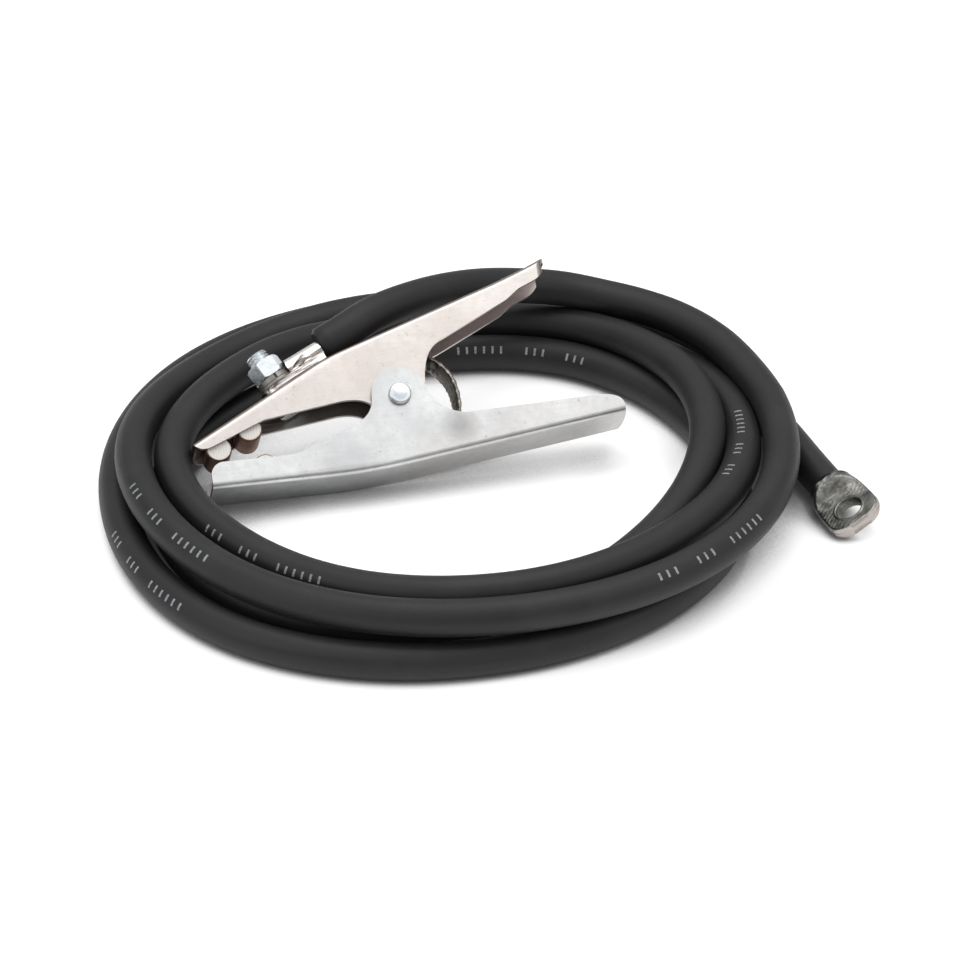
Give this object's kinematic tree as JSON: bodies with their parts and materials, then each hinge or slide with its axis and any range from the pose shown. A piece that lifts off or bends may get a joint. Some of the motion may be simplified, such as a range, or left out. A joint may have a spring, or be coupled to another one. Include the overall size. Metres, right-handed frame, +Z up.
{
  "type": "welding ground clamp",
  "caption": "Spring-loaded welding ground clamp of stamped steel with copper contacts, lying in the loose coil of its heavy rubber lead, which ends in a flat lug.",
  "frame": {"origin": "on the surface that everything lies on, under the middle of the bare clamp without its lead", "axes": "+X along the clamp from the jaws to the handles, +Z up, and +Y away from the side that the rivet's front head faces; the clamp leans 40 degrees back from upright about X"},
  "size_m": [0.3388, 0.3093, 0.078],
  "materials": {
    "lower_zinc": "bright zinc plate with fine rolling lines",
    "upper_zinc": "warm-toned bright zinc plate",
    "plated_steel": "bluish zinc plate",
    "spring_steel": "oiled dark spring steel",
    "copper": "dull brown copper with saw-cut ends",
    "braid": "woven tinned copper, tarnished",
    "tinned_copper": "bright tin with streaks",
    "tarnished_copper": "dark tarnish, hammered",
    "lead_rubber": "matte charcoal rubber with soft highlights"
  },
  "bodies": {
    "lower": {"lower_arm": "lower_zinc", "pivot_rivet": "plated_steel", "spring_bushing": "spring_steel", "torsion_spring": "spring_steel", "lower_contact": "copper", "braid_strap": "braid", "lead_clamp_stretch": "lead_rubber", "lead_coil": "lead_rubber", "lead_lug_stretch": "lead_rubber", "end_core": "copper", "end_lug": "tarnished_copper"},
    "upper": {"upper_arm": "upper_zinc", "upper_contact_front": "copper", "upper_contact_rear": "copper", "terminal_bolt": "plated_steel", "flat_washer": "plated_steel", "lock_washer": "plated_steel", "terminal_nut": "plated_steel", "clamp_lug": "tinned_copper", "clamp_core": "copper"}
  },
  "joints": [
    {"name": "jaw_opening", "type": "hinge", "parent": "lower", "child": "upper", "pos_m": [-0.00359, -0.00841, 0.03229], "axis": [0, 0.6428, -0.766], "range_deg": [0, 28], "stiffness_Nm_per_rad": 6, "springref_deg": -68.75, "deforming": ["torsion_spring", "braid_strap", "lead_clamp_stretch"]}
  ]
}
